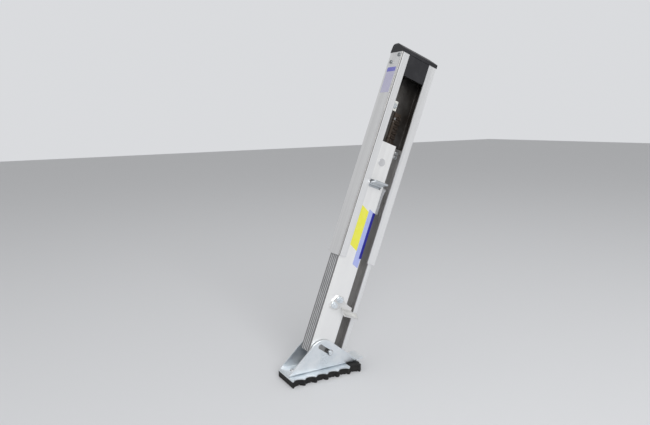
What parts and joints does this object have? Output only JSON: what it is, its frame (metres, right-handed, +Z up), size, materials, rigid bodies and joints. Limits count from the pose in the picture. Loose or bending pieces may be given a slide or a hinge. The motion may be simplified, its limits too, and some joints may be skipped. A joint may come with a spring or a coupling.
{
  "type": "ladder leveller",
  "caption": "Bolt-on ladder leveller: a ribbed leg slides in an open channel, locks on a rack by a lever and pawl, and stands on a swivel foot with a notched rubber pad.",
  "frame": {"origin": "midway between the two rail bolts, on the channel's back face", "axes": "+X out of the ladder rail through the channel's open side, +Y from the climber towards the wall, +Z straight up; the channel leans back 21.5 degrees towards +Y"},
  "size_m": [0.0822, 0.3358, 0.6047],
  "materials": {
    "extrusion": "satin",
    "zinc_steel": "satin",
    "plain_steel": "satin",
    "black_plastic": "satin",
    "white_nylon": "satin",
    "rubber": "matte"
  },
  "bodies": {
    "housing": {"channel": "extrusion", "end_cap": "black_plastic", "cap_screws": "zinc_steel", "rack": "extrusion", "rack_rivets": "plain_steel", "rail_bolts": "zinc_steel", "clamp_plates": "white_nylon", "mouth_guides": "white_nylon", "stop_lug": "extrusion", "lug_rivets": "plain_steel"},
    "leg": {"leg": "extrusion", "leg_guides": "white_nylon", "stop_block": "black_plastic", "stop_screws": "zinc_steel", "detent_spring": "plain_steel", "detent_rivet": "extrusion", "bottom_plug": "black_plastic", "pivot_sleeve": "plain_steel", "stirrup": "zinc_steel", "stirrup_bolts": "zinc_steel", "stirrup_washers": "zinc_steel", "stirrup_nuts": "zinc_steel"},
    "lock": {"lock_shaft": "plain_steel", "lock_lever": "zinc_steel", "lock_pawl": "plain_steel", "roll_pins": "plain_steel", "shaft_clips": "plain_steel"},
    "pivot": {"pivot_pin": "zinc_steel", "pivot_clip": "plain_steel", "pivot_washers": "white_nylon"},
    "foot": {"foot_bracket": "zinc_steel", "pad_plate": "zinc_steel", "foot_pad": "rubber", "pad_rivets": "plain_steel"}
  },
  "joints": [
    {"name": "leg_slide", "type": "slide", "parent": "housing", "child": "leg", "axis": [0, 0.3665, 0.9304], "range_m": [0, 0.1425]},
    {"name": "lock_lever", "type": "hinge", "parent": "leg", "child": "lock", "pos_m": [0.024, -0.03668, -0.09857], "axis": [0, 0.9304, -0.3665], "range_deg": [0, 14]},
    {"name": "foot_swivel", "type": "hinge", "parent": "leg", "child": "pivot", "pos_m": [0.0191, -0.14924, -0.39386], "axis": [1, 0, 0], "range_deg": [-40, 10]},
    {"name": "foot_shift", "type": "slide", "parent": "pivot", "child": "foot", "axis": [0, 0.7902, -0.6129], "range_m": [0, 0.024]}
  ]
}
